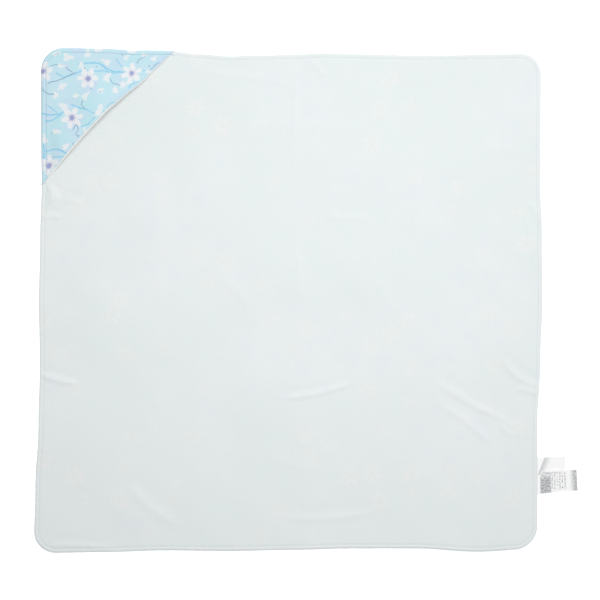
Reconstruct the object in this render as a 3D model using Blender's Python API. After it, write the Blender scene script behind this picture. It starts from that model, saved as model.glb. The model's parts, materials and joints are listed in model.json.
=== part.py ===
"""Hooded baby towel, lying open and flat on its printed face.

Metres, +Z up. The origin is the middle of the towel on the face it rests on. +Y runs towards
the hood's side and +X towards the side with the care labels, so the hood sits on the -X +Y
corner. The cloth is cut along three fold lines, where the real towel folds over a baby.
"""
import math

import bmesh
import bpy
from mathutils import Matrix, Vector

# Towel
SIDE = 0.800                # finished width and length
CORNER_RADIUS = 0.036       # turned corners
PRINTED_THICKNESS = 0.0015  # outer cloth, which the towel lies on
WHITE_THICKNESS = 0.0015    # inner cloth, which faces the baby
LAYER_GAP = 0.0009          # slack between the two cloths
CLEARANCE = 0.0003          # between pieces that touch
FOLD_CUT = 0.0004           # width of the cut along a fold line
FOLD_END = 0.003            # from the middle of an edge to the end of a fold line

# Hood, sewn along two edges and open on the third side
HOOD_LEG = 0.213            # from the corner to the end of the mouth, along an edge
HOOD_SAG = 0.011            # how far the mouth curves in towards the corner
HOOD_RISE = 0.010           # how high the slack mouth stands over the towel at its middle
HOOD_CLOTH = 0.0012         # printed cloth of the hood
LINING_CLOTH = 0.0012       # white cloth under it
FACING_WIDTH = 0.005        # rolled strip that binds the mouth

# Thread
STITCH_RADIUS = 0.0002
STITCH_INSET = 0.0065       # top stitching, from the finished edge
SEAM_RADIUS = 0.00015
SEAM_INSET = 0.003          # hidden seam that joins the two cloths

# Care labels, caught in the side seam
LABEL_THICKNESS = 0.0005
LABEL_TURN = math.radians(4.5)
FRONT_LABEL_LENGTH = 0.059
FRONT_LABEL_WIDTH = 0.036
FRONT_LABEL_IN = 0.111      # label's middle, from the foot edge
BACK_LABEL_LENGTH = 0.042
BACK_LABEL_WIDTH = 0.028
BACK_LABEL_IN = 0.136

# Smoothness of curves
CORNER_STEPS = 8
MOUTH_STEPS = 6             # on each side of the hood's ridge

# Worked out from the sizes above
HALF = SIDE / 2
FOLD_LEG = HALF - FOLD_END  # from a corner to the end of its fold line, along an edge
WHITE_LOW = PRINTED_THICKNESS + LAYER_GAP
TOP = WHITE_LOW + WHITE_THICKNESS
HINGE_Z = TOP + CLEARANCE
LINING_LOW = TOP + CLEARANCE
HOOD_LOW = LINING_LOW + LINING_CLOTH + CLEARANCE
HOOD_TOP = HOOD_LOW + HOOD_CLOTH
LEFT_CORNER = (-1, -1)
RIGHT_CORNER = (1, 1)
FOOT_CORNER = (1, -1)
HOOD_CORNER = (-1, 1)


def material(name, colour, roughness):
    """A cloth or thread finish."""
    made = bpy.data.materials.new(name)
    made.use_nodes = True
    shader = made.node_tree.nodes["Principled BSDF"]
    shader.inputs["Base Color"].default_value = (*colour, 1)
    shader.inputs["Roughness"].default_value = roughness
    shader.inputs["Metallic"].default_value = 0
    made.diffuse_color = (*colour, 1)
    return made


def pivot(name, place, carrier=None):
    """An empty on a joint's axis, with its place. It carries the pieces that turn about it."""
    empty = bpy.data.objects.new(name, None)
    empty.location = place
    if carrier:
        empty.location -= carrier[1]
        empty.parent = carrier[0]
    bpy.context.collection.objects.link(empty)
    return empty, Vector(place)


def add_piece(name, data, finish, joint=None):
    """An object with its own material, from data in the towel's frame."""
    made = bpy.data.objects.new(name, data)
    data.materials.append(material(name, *finish))
    bpy.context.collection.objects.link(made)
    if joint:
        empty, place = joint
        data.transform(Matrix.Translation(-place))
        made.parent = empty


def add_sheet(name, faces, thickness, finish, joint=None):
    """A solid under the given upper faces, each a list of points. Faces share equal points."""
    shape = bmesh.new()
    corners = {}
    for face in faces:
        for point in face:
            key = tuple(round(value, 7) for value in point)
            if key not in corners:
                corners[key] = shape.verts.new(point)
        shape.faces.new([corners[tuple(round(value, 7) for value in point)] for point in face])
    grown = bmesh.ops.extrude_face_region(shape, geom=shape.faces[:], use_keep_orig=True)
    lower = [item for item in grown["geom"] if isinstance(item, bmesh.types.BMVert)]
    bmesh.ops.translate(shape, verts=lower, vec=(0, 0, -thickness))
    bmesh.ops.recalc_face_normals(shape, faces=shape.faces[:])
    if shape.calc_volume(signed=True) < 0:
        bmesh.ops.reverse_faces(shape, faces=shape.faces[:])
    data = bpy.data.meshes.new(name)
    shape.to_mesh(data)
    shape.free()
    return add_piece(name, data, finish, joint)


def add_thread(name, points, radius, finish, joint=None):
    """A sewn line of thread as one round cord."""
    data = bpy.data.curves.new(name, "CURVE")
    data.dimensions = "3D"
    data.bevel_depth = radius
    data.bevel_resolution = 1
    data.use_fill_caps = True
    line = data.splines.new("POLY")
    line.points.add(len(points) - 1)
    for spot, point in zip(line.points, points):
        spot.co = (*point, 1)
    return add_piece(name, data, finish, joint)


def from_corner(corner, across, along):
    """The place that lies this far in from the corner's two edges."""
    return corner[0] * (HALF - across), corner[1] * (HALF - along)


def corner_run(corner, inset, reach):
    """Points round a corner, this far in from the edge and reaching this far along both edges."""
    radius = CORNER_RADIUS - inset
    run = [(inset, reach)]
    for step in range(CORNER_STEPS + 1):
        angle = math.pi / 2 * step / CORNER_STEPS
        across = CORNER_RADIUS - radius * math.cos(angle)
        along = CORNER_RADIUS - radius * math.sin(angle)
        run.append((across, along))
    run.append((reach, inset))
    return [from_corner(corner, *point) for point in run]


def at_height(points, height):
    return [(x, y, height) for x, y in points]


# Towel cloths. Each fold line's cut is shared between the panels on its two sides.
CUT_ALONG_EDGE = FOLD_CUT / 2 * math.sqrt(2)


def corner_panel(corner):
    """Outline of a corner that folds over."""
    outline = corner_run(corner, 0, FOLD_LEG - CUT_ALONG_EDGE)
    return outline if corner[0] * corner[1] < 0 else outline[::-1]


def middle_panel():
    """Outline of the middle, which keeps the hood's corner."""
    reach = FOLD_LEG + CUT_ALONG_EDGE
    outline = corner_run(HOOD_CORNER, 0, SIDE - reach)
    for corner in (RIGHT_CORNER, FOOT_CORNER, LEFT_CORNER):
        ends = [from_corner(corner, reach, 0), from_corner(corner, 0, reach)]
        outline += ends[::-1] if corner == FOOT_CORNER else ends
    return tidy_outline(outline)


def tidy_outline(outline):
    """The outline without points that repeat the one before."""
    kept = []
    for point in outline:
        if not kept or (Vector(point) - Vector(kept[-1])).length > CLEARANCE / 10:
            kept.append(point)
    if (Vector(kept[0]) - Vector(kept[-1])).length < CLEARANCE / 10:
        kept.pop()
    return kept


def fold_pivot(name, corner):
    return pivot(name, (*from_corner(corner, FOLD_LEG / 2, FOLD_LEG / 2), HINGE_Z))


# Hood. Its height follows the distance from the nearer sewn edge, which makes one ridge.
MOUTH_HALF_CHORD = HOOD_LEG / math.sqrt(2)
MOUTH_RADIUS = (MOUTH_HALF_CHORD**2 + HOOD_SAG**2) / (2 * HOOD_SAG)
MOUTH_MIDDLE = HOOD_LEG / 2 - HOOD_SAG / math.sqrt(2)
MOUTH_CENTRE = MOUTH_MIDDLE + MOUTH_RADIUS / math.sqrt(2)


def lift(across, along):
    """How far the hood stands over the place it would have if it lay flat."""
    return HOOD_RISE * max(0, min(across, along)) / MOUTH_MIDDLE


def hood_point(across, along, height):
    return (*from_corner(HOOD_CORNER, across, along), height + lift(across, along))


def mouth_arc(inset, margin=0):
    """The mouth's curve from the towel's edge, or a margin short of it, to the ridge."""
    radius = MOUTH_RADIUS + inset
    widest = math.asin((MOUTH_CENTRE - margin) / radius) - math.pi / 4
    arc = []
    for step in range(MOUTH_STEPS + 1):
        angle = math.pi / 4 + widest * (1 - step / MOUTH_STEPS)
        along = MOUTH_CENTRE - radius * math.cos(angle)
        across = MOUTH_CENTRE - radius * math.sin(angle)
        arc.append((max(0, across), along))
    return arc


def swapped(points):
    """The same points on the other side of the ridge."""
    return [(along, across) for across, along in points]


def hood_faces(height):
    """Upper faces of a hood cloth: one on each side of the ridge."""
    arc = mouth_arc(FACING_WIDTH + CLEARANCE)
    turn = []
    for step in range(CORNER_STEPS // 2 + 1):
        angle = math.pi / 4 * (1 - step / (CORNER_STEPS // 2))
        across = CORNER_RADIUS * (1 - math.cos(angle))
        along = CORNER_RADIUS * (1 - math.sin(angle))
        turn.append((across, along))
    side = turn + arc
    return [[hood_point(*point, height) for point in half] for half in (side, swapped(side)[::-1])]


def facing_faces(height):
    """Upper faces of the strip that binds the mouth."""
    outer = mouth_arc(0)
    inner = mouth_arc(FACING_WIDTH)
    faces = []
    for turned in (False, True):
        edge, back = (swapped(outer), swapped(inner)) if turned else (outer, inner)
        for step in range(MOUTH_STEPS):
            face = [back[step], edge[step], edge[step + 1], back[step + 1]]
            faces.append([hood_point(*point, height) for point in (face[::-1] if turned else face)])
    return faces


def hood_pivot():
    return pivot("hood_pivot", (*from_corner(HOOD_CORNER, 0, 0), HOOD_TOP))


# Care labels
def label_outline(length, width, middle):
    """A label turned a little in the plane, with its sewn end along the towel's edge."""
    start = HALF + CLEARANCE
    ahead = Vector((math.cos(LABEL_TURN), math.sin(LABEL_TURN)))
    aside = Vector((-math.sin(LABEL_TURN), math.cos(LABEL_TURN)))
    root = Vector((start, middle))
    outline = []
    for side in (-1, 1):
        far = root + ahead * length + aside * side * width / 2
        near = far - ahead * ((far.x - start) / ahead.x)
        outline += [near, far] if side < 0 else [far, near]
    return [tuple(point) for point in outline]


def label_pivot(name, middle, carrier):
    return pivot(name, (HALF, middle, HINGE_Z), carrier)


def start_afresh():
    for old in list(bpy.data.objects):
        bpy.data.objects.remove(old, do_unlink=True)


PRINTED = ((0.56, 0.77, 0.86), 0.85)
WHITE = ((0.84, 0.88, 0.88), 0.9)
CREAM = ((0.86, 0.85, 0.80), 0.8)
THREAD = ((0.80, 0.83, 0.84), 0.6)
SATIN = ((0.88, 0.88, 0.87), 0.4)


def add_towel_panel(where, outline, joint=None):
    """The two cloths of one panel, printed below and white above."""
    top = at_height(outline, TOP)
    low = at_height(outline, PRINTED_THICKNESS)
    add_sheet(f"printed_cloth_{where}", [low], PRINTED_THICKNESS, PRINTED, joint)
    add_sheet(f"white_cloth_{where}", [top], WHITE_THICKNESS, WHITE, joint)


def add_seam(where, corner, reach, joint=None):
    """The hidden seam round one corner, between the two cloths."""
    run = at_height(corner_run(corner, SEAM_INSET, reach), PRINTED_THICKNESS + LAYER_GAP / 2)
    add_thread(f"seam_thread_{where}", run, SEAM_RADIUS, THREAD, joint)


def add_folding_corner(where, corner):
    """A corner that folds over, with its two cloths, hidden seam and top stitching."""
    joint = fold_pivot(f"{where}_pivot", corner)
    add_towel_panel(where, corner_panel(corner), joint)
    add_seam(where, corner, FOLD_LEG - SEAM_INSET - 2 * FOLD_CUT, joint)
    reach = FOLD_LEG - STITCH_INSET - 2 * FOLD_CUT
    run = at_height(corner_run(corner, STITCH_INSET, reach), TOP + CLEARANCE + STITCH_RADIUS)
    add_thread(f"edge_stitching_{where}", run, STITCH_RADIUS, THREAD, joint)
    return joint


def add_middle():
    """The middle panel, with the edge stitching on the two stretches beside the hood."""
    add_towel_panel("middle", middle_panel())
    add_seam("middle", HOOD_CORNER, HALF)
    height = TOP + CLEARANCE + STITCH_RADIUS
    stretch = [(STITCH_INSET, HALF), (STITCH_INSET, HOOD_LEG + 2 * CLEARANCE)]
    for where, ends in (("left_edge", stretch), ("top_edge", swapped(stretch))):
        run = at_height([from_corner(HOOD_CORNER, *end) for end in ends], height)
        add_thread(f"edge_stitching_{where}", run, STITCH_RADIUS, THREAD)


def add_hood():
    """The hood's cloth, lining, bound mouth and both lines of stitching on it."""
    joint = hood_pivot()
    add_sheet("hood_cloth", hood_faces(HOOD_TOP), HOOD_CLOTH, PRINTED, joint)
    add_sheet("hood_lining", hood_faces(LINING_LOW + LINING_CLOTH), LINING_CLOTH, WHITE, joint)
    add_sheet("hood_facing", facing_faces(HOOD_TOP), HOOD_TOP - LINING_LOW, CREAM, joint)
    height = HOOD_TOP + CLEARANCE + STITCH_RADIUS
    reach = HOOD_LEG - STITCH_INSET - 2 * FACING_WIDTH
    around = corner_run((1, 1), STITCH_INSET, reach)
    run = [hood_point(HALF - x, HALF - y, height) for x, y in around]
    add_thread("edge_stitching_hood", run, STITCH_RADIUS, THREAD, joint)
    side = mouth_arc(FACING_WIDTH / 2, 2 * STITCH_RADIUS)
    run = [hood_point(*point, height) for point in side + swapped(side)[-2::-1]]
    add_thread("mouth_stitching", run, STITCH_RADIUS, THREAD, joint)


def add_labels(carrier):
    """Two labels in one seam: the back one lifts with the front one on it."""
    middle = BACK_LABEL_IN - HALF
    back = label_pivot("back_label_pivot", middle, carrier)
    outline = label_outline(BACK_LABEL_LENGTH, BACK_LABEL_WIDTH, middle)
    top = LABEL_THICKNESS
    add_sheet("back_label", [at_height(outline, top)], LABEL_THICKNESS, SATIN, back)
    middle = FRONT_LABEL_IN - HALF
    front = label_pivot("front_label_pivot", middle, back)
    outline = label_outline(FRONT_LABEL_LENGTH, FRONT_LABEL_WIDTH, middle)
    top += CLEARANCE + LABEL_THICKNESS
    add_sheet("front_label", [at_height(outline, top)], LABEL_THICKNESS, SATIN, front)


start_afresh()
add_middle()
add_folding_corner("left_corner", LEFT_CORNER)
add_folding_corner("right_corner", RIGHT_CORNER)
foot = add_folding_corner("foot_corner", FOOT_CORNER)
add_hood()
add_labels(foot)
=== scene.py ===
import json
import math

import bpy
import numpy as np
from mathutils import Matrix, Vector


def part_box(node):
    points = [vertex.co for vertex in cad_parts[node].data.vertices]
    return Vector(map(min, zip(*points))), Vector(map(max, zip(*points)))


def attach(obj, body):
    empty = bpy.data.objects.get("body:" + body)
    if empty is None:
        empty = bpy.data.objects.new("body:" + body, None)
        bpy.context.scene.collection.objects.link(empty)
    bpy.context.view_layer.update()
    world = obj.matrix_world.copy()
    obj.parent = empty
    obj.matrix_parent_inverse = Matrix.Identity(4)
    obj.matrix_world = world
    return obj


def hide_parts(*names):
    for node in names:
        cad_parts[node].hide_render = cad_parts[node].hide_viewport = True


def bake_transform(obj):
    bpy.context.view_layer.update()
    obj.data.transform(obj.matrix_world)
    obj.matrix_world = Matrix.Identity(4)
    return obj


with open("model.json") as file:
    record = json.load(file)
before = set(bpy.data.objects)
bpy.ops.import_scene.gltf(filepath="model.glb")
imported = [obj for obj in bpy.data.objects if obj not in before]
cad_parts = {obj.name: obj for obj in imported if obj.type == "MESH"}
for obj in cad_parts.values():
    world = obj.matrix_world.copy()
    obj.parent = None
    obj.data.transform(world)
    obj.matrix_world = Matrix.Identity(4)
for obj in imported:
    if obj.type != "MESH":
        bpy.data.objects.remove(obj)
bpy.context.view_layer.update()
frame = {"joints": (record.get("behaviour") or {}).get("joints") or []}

# --- The view ---
# The towel lies flat on a pale floor and is seen from straight above, under one large soft light
# that stands over its upper right corner and a smaller one near the middle, which fills the
# shadows. None of this is part of the towel.
VIEW_WIDTH = 0.960
VIEW_CENTRE = (0.0139, -0.0002)
VIEW_LEVEL = 0.006         # the height at which the view is that wide
LENS = 90
SENSOR = 36
SKY_LIGHT = 0.32
FLOOR_REACH = 20
FLOOR_LEVEL = -0.0004
FLOOR_GLOW = 0.4


def new_object(name, data):
    made = bpy.data.objects.new(name, data)
    bpy.context.scene.collection.objects.link(made)
    return made


camera = new_object("camera", bpy.data.cameras.new("camera"))
camera.data.lens = LENS
camera.data.sensor_width = SENSOR
camera.location = (*VIEW_CENTRE, VIEW_WIDTH * LENS / SENSOR + VIEW_LEVEL)
bpy.context.scene.camera = camera
bpy.context.scene.view_settings.view_transform = "Standard"


def add_soft_box(name, place, size, power):
    """A square lamp that faces the middle of the towel."""
    lamp = new_object(name, bpy.data.lights.new(name, "AREA"))
    lamp.data.size = size
    lamp.data.energy = power
    lamp.location = place
    lamp.rotation_euler = Vector(place).to_track_quat("Z", "Y").to_euler()


add_soft_box("main_light", (0.8, 1.6, 2.9), 2.4, 61)
add_soft_box("fill_light", (0.05, 0.15, 1.6), 0.4, 9.2)
world = bpy.data.worlds.new("studio")
world.use_nodes = True
sky = world.node_tree.nodes["Background"]
sky.inputs["Color"].default_value = (1, 1, 1, 1)
sky.inputs["Strength"].default_value = SKY_LIGHT
bpy.context.scene.world = world

floor_mesh = bpy.data.meshes.new("floor")
floor_ends = [(FLOOR_REACH * x, FLOOR_REACH * y, 0) for x, y in ((-1, -1), (1, -1), (1, 1), (-1, 1))]
floor_mesh.from_pydata(floor_ends, [], [(0, 1, 2, 3)])
floor = new_object("floor", floor_mesh)
floor.location.z = FLOOR_LEVEL
paint = bpy.data.materials.new("floor_paint")
paint.use_nodes = True
paint_shader = paint.node_tree.nodes["Principled BSDF"]
paint_shader.inputs["Base Color"].default_value = (0.93, 0.93, 0.93, 1)
paint_shader.inputs["Roughness"].default_value = 0.9
paint_shader.inputs["Emission Color"].default_value = (1, 1, 1, 1)
paint_shader.inputs["Emission Strength"].default_value = FLOOR_GLOW
floor_mesh.materials.append(paint)

# --- White inner cloth ---
# The face that dries the baby: one square of soft looped cotton, cut 800 mm wide and sewn right
# sides together with the printed cloth, turned and top-stitched 6.5 mm in. Its three plain
# corners fold over, so each is a panel of its own that shares its cut with the middle.
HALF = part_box("white_cloth_middle")[1].x
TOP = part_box("white_cloth_middle")[1].z
FOLDS = {joint["child"]: joint["pos_m"] for joint in frame["joints"] if "corner" in joint["child"]}
FOLD_LEG = 2 * (HALF - FOLDS["right_corner"][0])
CORNER_RADIUS = 0.036
STITCH_INSET = 0.0065
RIM_HEIGHT = 0.0021        # where the two cloths meet at the edge
ROLL = 0.0031              # how far in the turned edge is rounded
GROOVE = 0.00035           # how deep the stitching pulls the cloth down
GROOVE_WIDTH = 0.0012
CLEARANCE = 0.0009         # how far the cloth stands off the floor before its creases
PUCKER = 0.00022           # the small waves that the stitching draws up, their pitch and their reach
PUCKER_PITCH = 0.0161
PUCKER_REACH = 0.008
PARTING = 0.0002           # how far the white cloth lifts off the seam's level inside the rim
DRIFT_REACH = 0.12         # how far in the wandering of an edge is felt
# How far each edge wanders outwards, in millimetres at even steps: down the left and right
# edges from the top, and along the top and bottom edges from the left.
LEFT_DRIFT = (0, -0.6, -0.8, 2.2, 4.2, 2.8, 4.6, 10, 12.5)
RIGHT_DRIFT = (0, -0.5, -1, 1.5, 2.5, -1, -6, -5.5, -6)
TOP_DRIFT = (3, 2.5, 1.5, -1.5, -1, -6, -9.5, -8, -7, -5, -6, -7.5, -8.5, -8, -7, -6, -4)
BOTTOM_DRIFT = (5.2, 3.8, 1, 2, 0, -2.2, -2, 3, -2)


def eased(values, share):
    """A smooth reading between evenly spaced values, for shares from 0 to 1."""
    values = np.asarray(values, float)
    spot = np.clip(share, 0, 1) * (len(values) - 1)
    step = np.minimum(spot.astype(int), len(values) - 2)
    part = spot - step
    part = part * part * (3 - 2 * part)
    return values[step] * (1 - part) + values[step + 1] * part


def smooth(value):
    value = np.clip(value, 0, 1)
    return value * value * (3 - 2 * value)


def into_corner(x, y):
    """How far a place lies beyond the start of the nearest round corner, both ways."""
    core = HALF - CORNER_RADIUS
    return np.maximum(np.abs(x) - core, 0), np.maximum(np.abs(y) - core, 0)


def round_corners(x, y):
    """Bends a square lattice round the corners, with its lines kept parallel to the edge."""
    p, q = into_corner(x, y)
    reach = np.maximum(p, q)
    turn = math.pi / 4 * np.minimum(p, q) / np.maximum(reach, 1e-9)
    turn = np.where(p >= q, turn, math.pi / 2 - turn)
    inside = (p > 0) & (q > 0)
    core = HALF - CORNER_RADIUS
    return (
        np.where(inside, np.sign(x) * (core + reach * np.cos(turn)), x),
        np.where(inside, np.sign(y) * (core + reach * np.sin(turn)), y),
    )


def edge_distance(x, y):
    """How far in from the finished edge a place is."""
    p, q = into_corner(x, y)
    straight = HALF - np.maximum(np.abs(x), np.abs(y))
    return np.where((p > 0) & (q > 0), CORNER_RADIUS - np.hypot(p, q), straight)


def laid(x, y, z):
    """The place of a point of the flat cloth once the towel is laid down by hand."""
    down, along = (HALF - y) / (2 * HALF), (x + HALF) / (2 * HALF)
    fade = lambda gap: smooth(1 - gap / DRIFT_REACH) / 1000
    shift_x = eased(RIGHT_DRIFT, down) * fade(HALF - x) - eased(LEFT_DRIFT, down) * fade(HALF + x)
    shift_y = eased(TOP_DRIFT, along) * fade(HALF - y) - eased(BOTTOM_DRIFT, along) * fade(HALF + y)
    return np.stack([x + shift_x, y + shift_y, z], -1)


# Creases left by handling, each from one end to the other, with its bow, width and height, in
# millimetres from the middle of the towel.
CREASES = (
    ((236, -134), (322, -183), -2, 5.5, 1.1),
    ((300, -172), (366, -208), 3, 5.5, 0.9),
    ((242, -170), (318, -228), 3, 5.5, 0.9),
    ((336, -200), (358, -220), 1, 4.5, 0.9),
    ((340, -97), (398, -138), -8, 5, 1.3),
    ((364, -142), (399, -150), 1, 4.5, 1.0),
    ((352, -218), (354, -252), 1, 5, 0.4),
    ((380, 156), (398, 122), 3, 4.5, 1.1),
    ((386, 100), (393, 48), -2, 4.5, 1.1),
    ((374, 128), (384, 92), 2, 4.5, 0.6),
    ((-12, -158), (98, -133), -4, 4.5, 1.0),
    ((-398, 130), (-368, 134), 2, 4, 1.1),
    ((-398, -120), (-342, -134), -2, 4.5, 1.3),
    ((-388, 184), (-383, 152), 2, 4.5, 1.3),
    ((-377, 180), (-374, 158), -1, 4, 0.9),
    ((-384, 162), (-336, 154), 3, 4.5, 0.7),
    ((-160, 372), (2, 348), 5, 6, 0.6),
    ((-258, -300), (-182, -360), -5, 8, 0.9),
    ((-4, -350), (130, -342), -4, 6, 0.6),
    ((46, 133), (130, 129), 1, 5, 0.5),
    ((5, 92), (12, 4), 3, 6, 0.5),
    ((5, 386), (4, 222), 1, 6, 0.5),
    ((-100, 278), (116, 277), 1, 7, 0.3),
    ((224, 386), (226, 236), -2, 7, 0.35),
    ((30, 388), (54, 360), 2, 4.5, 0.8),
    ((-372, -388), (-290, -394), 2, 4.5, 0.7),
    ((300, 240), (384, 232), 4, 8, 0.4),
    ((-120, 40), (-60, -30), 8, 9, 0.3),
    ((-60, -240), (40, -270), -6, 9, 0.35),
    ((120, 40), (180, -40), 7, 9, 0.3),
)
SWELL = 0.0011
swell_draw = np.random.default_rng(11)
SWELLS = [swell_draw.uniform((0.06, 0, 0), (0.26, 6.28, 6.28)) for _ in range(16)]


def crease(x, y, start, end, bow, width, height):
    """The height that one crease adds: a soft ridge with a shallow valley beside it."""
    start, end = np.array(start) / 1000, np.array(end) / 1000
    run = end - start
    length = np.hypot(*run)
    heading = run / length
    ahead = (x - start[0]) * heading[0] + (y - start[1]) * heading[1]
    aside = (y - start[1]) * heading[0] - (x - start[0]) * heading[1]
    share = ahead / length
    middle = np.clip(share, 0, 1)
    aside = aside - bow / 1000 * 4 * middle * (1 - middle)
    taper = smooth(share / 0.3 + 0.35) * smooth((1 - share) / 0.3 + 0.35)
    width = width / 1000
    ridge = np.exp(-((aside / width) ** 2)) - 0.4 * np.exp(-((aside / width / 1.6 - 1.5) ** 2))
    return height / 1000 * ridge * taper


def lie(x, y):
    """How far the cloth stands off the floor."""
    total = np.full(np.shape(x), CLEARANCE)
    for length, heading, phase in SWELLS:
        wave = (x * math.cos(heading) + y * math.sin(heading)) / length * 2 * math.pi
        total = total + SWELL * length * np.sin(wave + phase)
    for one in CREASES:
        total = total + crease(x, y, *one)
    ripple = np.cos(x / PUCKER_PITCH * 2 * math.pi) * np.cos(y / PUCKER_PITCH * 2 * math.pi)
    uneven = 0.6 + 0.4 * np.sin(x * 31 + y * 47)
    total = total + PUCKER * ripple * uneven * np.exp(-edge_distance(x, y) / PUCKER_REACH)
    return np.sqrt(np.maximum(total, 0) ** 2 + 1e-8)


def rolled(distance, width):
    """The rounding of a turned edge, from 0 at the rim to 1 where the cloth is full."""
    return np.sqrt(1 - (1 - np.clip(distance / width, 0, 1)) ** 2)


def pulled(distance, depth, width):
    """How far the row of stitches pulls the cloth down."""
    return depth * np.exp(-(((distance - STITCH_INSET) / width) ** 2))


def white_face(x, y):
    distance = edge_distance(x, y)
    full = RIM_HEIGHT + (TOP - RIM_HEIGHT) * rolled(distance, ROLL)
    return lie(x, y) + full - pulled(distance, GROOVE, GROOVE_WIDTH)


def white_back(x, y):
    return lie(x, y) + RIM_HEIGHT + PARTING * smooth(edge_distance(x, y) / 0.003)


# The lattice is fine where the edge is rolled and stitched. It mirrors itself about each fold,
# so that a fold line always runs through its nodes.
RIM_LINES = np.array([0, 0.4, 1.0, 1.8, 2.8, 3.9, 5.0, 5.8, 6.5, 7.2, 8.2, 10.5, 14.0]) / 1000
CLOTH_STEP = 0.0042
plain_steps = round((FOLD_LEG - 2 * RIM_LINES[-1]) / CLOTH_STEP)
plain_lines = np.linspace(RIM_LINES[-1], FOLD_LEG - RIM_LINES[-1], plain_steps + 1)[1:-1]
fold_lines = np.concatenate([RIM_LINES, plain_lines, (FOLD_LEG - RIM_LINES)[::-1]])
LINES = np.concatenate([fold_lines - HALF, HALF - fold_lines[::-1]])
FOLD_NODES, NODES = len(fold_lines), len(LINES)
flat_x, flat_y = round_corners(*np.meshgrid(LINES, LINES, indexing="ij"))
on_rim = np.zeros((NODES, NODES), bool)
on_rim[[0, -1], :] = on_rim[:, [0, -1]] = True


def inwards(corner, i, j, count):
    """Steps counted inwards from a corner, or back again, where count steps reach right across."""
    return (i if corner[0] < 0 else count - i), (j if corner[1] < 0 else count - j)


def face_at(corner, steps):
    """A face over the given steps from a corner, turned the right way round."""
    places = [inwards(corner, i, j, NODES - 1) for i, j in steps]
    face = [i * NODES + j for i, j in places]
    return face if corner[0] * corner[1] > 0 else face[::-1]


def folding_faces(corner):
    """The faces between a corner and its fold line."""
    faces = []
    for i in range(FOLD_NODES - 1):
        for j in range(FOLD_NODES - 1 - i):
            steps = [(i, j), (i + 1, j), (i + 1, j + 1), (i, j + 1)]
            if i + j == FOLD_NODES - 2:
                del steps[2]
            faces.append(face_at(corner, steps))
    return faces


CORNERS = {"left_corner": (-1, -1), "right_corner": (1, 1), "foot_corner": (1, -1)}


def middle_faces():
    """The faces that no corner takes with it."""
    faces = []
    for i in range(NODES - 1):
        for j in range(NODES - 1):
            face = face_at((-1, -1), [(i, j), (i + 1, j), (i + 1, j + 1), (i, j + 1)])
            for corner in CORNERS.values():
                p, q = inwards(corner, i, j, NODES - 2)
                if p + q < FOLD_NODES - 2:
                    face = None
                elif p + q == FOLD_NODES - 2:
                    face = face_at(corner, [(p + 1, q), (p + 1, q + 1), (p, q + 1)])
            if face:
                faces.append(face)
    return faces


PANELS = {"middle": middle_faces()}
PANELS.update({where: folding_faces(corner) for where, corner in CORNERS.items()})


def facing(place, a, b):
    """The upward direction of a surface, from how its places change with their two coordinates."""
    step = 0.0002
    across = place(a + step, b) - place(a - step, b)
    normals = np.cross(across, place(a, b + step) - place(a, b - step))
    normals = normals * np.where(normals[:, 2:] < 0, -1, 1)
    return normals / np.maximum(np.linalg.norm(normals, axis=1, keepdims=True), 1e-15)


def add_mesh(name, points, faces, normals, spots, material):
    """A mesh piece with its own normals and with the flat cloth's places as its UV map."""
    mesh = bpy.data.meshes.new(name)
    mesh.from_pydata(points.tolist(), [], faces)
    mesh.materials.append(material)
    uv = mesh.uv_layers.new(name="cloth")
    corners = np.empty(len(mesh.loops), int)
    mesh.loops.foreach_get("vertex_index", corners)
    uv.data.foreach_set("uv", spots[corners].astype(np.float32).ravel())
    mesh.shade_smooth()
    if normals is not None:
        mesh.normals_split_custom_set_from_vertices(normals.tolist())
    return new_object(name, mesh)


def add_shell(name, faces, a, b, upper, lower, spots, joined, material):
    """A closed piece of cloth between two surfaces over the same lattice of coordinates. The
    surfaces meet where joined says so, and a narrow wall closes every other edge."""
    used, numbers = np.unique(np.concatenate(faces), return_inverse=True)
    a, b, joined, spots = a.ravel()[used], b.ravel()[used], joined.ravel()[used], spots[used]
    below = np.where(joined, np.arange(len(used)), len(used) + np.cumsum(~joined) - 1)
    up, down = facing(upper, a, b), -facing(lower, a, b)
    outwards = up[joined] + down[joined]
    up[joined] = outwards / np.linalg.norm(outwards, axis=1, keepdims=True)
    points = np.concatenate([upper(a, b), lower(a, b)[~joined]])
    normals = np.concatenate([up, down[~joined]])
    ends = np.cumsum([0] + [len(face) for face in faces])
    tops = [numbers[first:last].tolist() for first, last in zip(ends[:-1], ends[1:])]
    bottoms = [[int(below[n]) for n in reversed(face)] for face in tops]
    sides = {(n, m) for face in tops for n, m in zip(face, face[1:] + face[:1])}
    walls = []
    for n, m in sorted(sides):
        if (m, n) not in sides and not (joined[n] and joined[m]):
            walls.append(list(dict.fromkeys([m, n, int(below[n]), int(below[m])])))
    spots = np.concatenate([spots, spots[~joined]])
    return add_mesh(name, points, tops + bottoms + walls, normals, spots, material)


def fold_with(piece, where):
    """The middle rides with the middle body as it is. A corner piece only has its transform applied to its
    mesh.
    """
    if where == "middle":
        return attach(piece, "middle")
    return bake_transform(piece)


def feed(socket, value):
    """Joins a socket to the output given for it, or sets it."""
    if isinstance(value, bpy.types.NodeSocket):
        socket.id_data.links.new(value, socket)
    else:
        socket.default_value = value


def new_node(kind, *values, setup=(), **named):
    """A shader node beside those that feed it, with its inputs given in order or by name."""
    fed = [value for value in (*values, *named.values()) if isinstance(value, bpy.types.NodeSocket)]
    made = fed[0].id_data.nodes.new(kind)
    for name, value in dict(setup).items():
        setattr(made, name, value)
    for socket, value in zip(made.inputs, values):
        feed(socket, value)
    for name, value in named.items():
        feed(made.inputs[name], value)
    return made


def sums(operation, *values):
    """The result of a sum on numbers or outputs."""
    return new_node("ShaderNodeMath", *values, setup={"operation": operation}).outputs[0]


def product(first, *others):
    for value in others:
        first = sums("MULTIPLY", first, value)
    return first


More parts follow.
